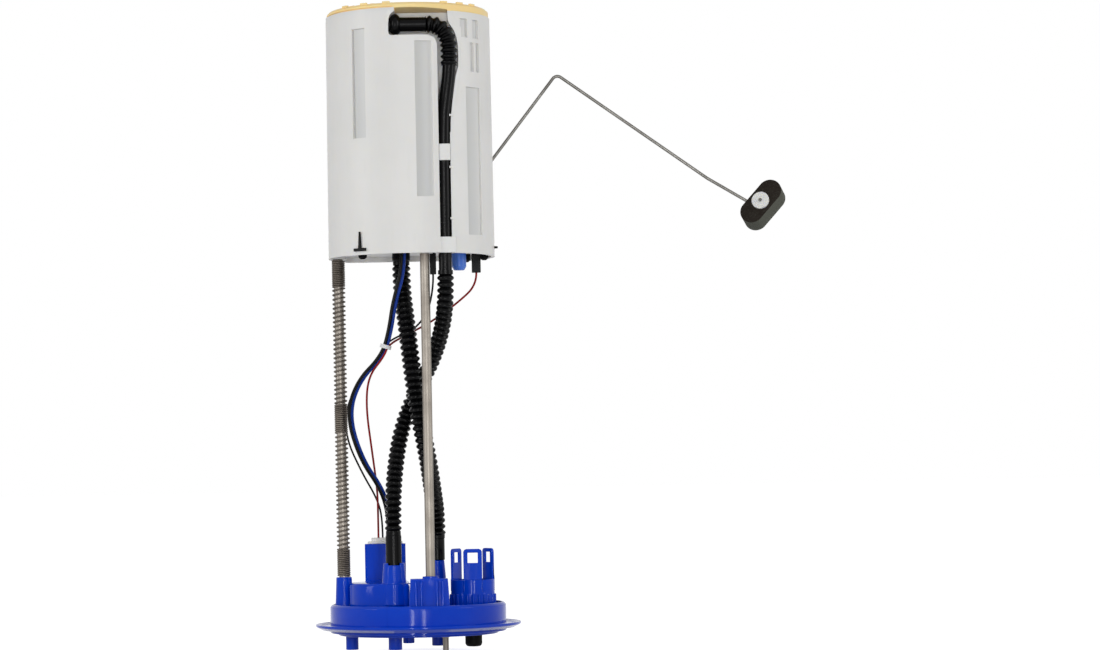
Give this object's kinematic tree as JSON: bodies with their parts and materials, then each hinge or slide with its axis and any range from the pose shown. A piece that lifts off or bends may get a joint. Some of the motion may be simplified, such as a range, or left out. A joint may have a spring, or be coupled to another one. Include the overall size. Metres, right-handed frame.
{
  "type": "fuel pump module",
  "caption": "In-tank fuel pump module: blue plug flange, two steel guide rods, return spring, white reservoir with cream end cap, corrugated hoses, wiring and a float arm.",
  "frame": {"origin": "on the flange's axis, at the face of the disc that lies on the tank", "axes": "+Z from the flange to the reservoir along the guide rods, +X towards the float"},
  "size_m": [0.3301, 0.14, 0.4376],
  "materials": {
    "blue_plastic": "moulded, slightly glossy",
    "white_plastic": "moulded acetal",
    "cream_plastic": "moulded acetal, cream-yellow",
    "black_plastic": "moulded",
    "blue_clear": "translucent",
    "black_rubber": "moulded rubber",
    "hose_black": "corrugated nylon, glossy",
    "wire_blue": "insulation",
    "wire_black": "insulation",
    "wire_red": "insulation",
    "steel": "drawn steel",
    "spring_steel": "oiled spring wire",
    "core_steel": "stacked sheet",
    "aluminium": "die cast",
    "brass": "bright",
    "magnet": "ferrite",
    "mesh": "woven nylon",
    "ceramic": "ceramic card with printed track",
    "float_foam": "closed-cell nitrile foam"
  },
  "bodies": {
    "flange": {"flange": "blue_plastic", "vent_cup": "blue_plastic", "guide_rod_left": "steel", "guide_rod_front": "steel", "spring": "spring_steel", "stop_ring": "spring_steel", "harness_plug": "white_plastic", "connector_pins": "brass", "steel_line": "steel", "vent_boot": "black_rubber", "return_cuff": "black_rubber", "supply_cuff": "black_rubber", "hose_a": "hose_black", "hose_b": "hose_black", "wire_blue": "wire_blue", "wire_black": "wire_black", "wire_red": "wire_red", "wire_thin_black": "wire_black", "cable_tie": "white_plastic"},
    "reservoir": {"reservoir_shell": "white_plastic", "end_cap": "cream_plastic", "carrier": "white_plastic", "sender_connector": "black_plastic", "pump_connector": "black_plastic", "lead_connector": "white_plastic", "relief_valve": "blue_clear", "rubber_bumpers": "black_rubber", "pump_can": "steel", "pump_outlet_cap": "black_plastic", "pump_casing": "aluminium", "pump_inlet_cap": "aluminium", "magnets": "magnet", "pump_sleeve": "black_rubber", "strainer": "mesh", "jet_pump": "black_plastic", "inlet_valve": "black_rubber", "hose_grommet": "black_rubber", "pipe_clip": "white_plastic", "foot_clip": "black_plastic", "pump_cuff": "black_rubber", "side_bend": "hose_black", "side_pipe": "hose_black", "side_elbow": "hose_black", "sender_frame": "black_plastic", "resistor_card": "ceramic"},
    "rotor": {"armature": "core_steel", "impeller": "black_plastic"},
    "float_arm": {"float_arm": "steel", "wiper_hub": "black_plastic", "wiper": "brass", "float_washer": "white_plastic"},
    "float": {"float": "float_foam"}
  },
  "joints": [
    {"name": "reservoir_slide", "type": "slide", "parent": "flange", "child": "reservoir", "axis": [0, 0, 1], "range_m": [-0.06, 0], "stiffness_N_per_m": 400, "springref_m": 0.04, "deforming": ["spring", "hose_a", "hose_b", "wire_blue", "wire_black", "wire_red", "wire_thin_black", "cable_tie"]},
    {"name": "rotor_spin", "type": "hinge", "parent": "reservoir", "child": "rotor", "pos_m": [-0.0073, 0.005, 0.32], "axis": [0, 0, 1], "continuous": true},
    {"name": "float_arm_pivot", "type": "hinge", "parent": "reservoir", "child": "float_arm", "pos_m": [0.024, 0.043, 0.2774], "axis": [0, 1, 0], "range_deg": [-33, 55]},
    {"name": "float_swivel", "type": "hinge", "parent": "float_arm", "child": "float", "pos_m": [0.2413, 0.0254, 0.2864], "axis": [-0.2796, -0.9185, 0.2796], "range_deg": [-30, 50]}
  ]
}
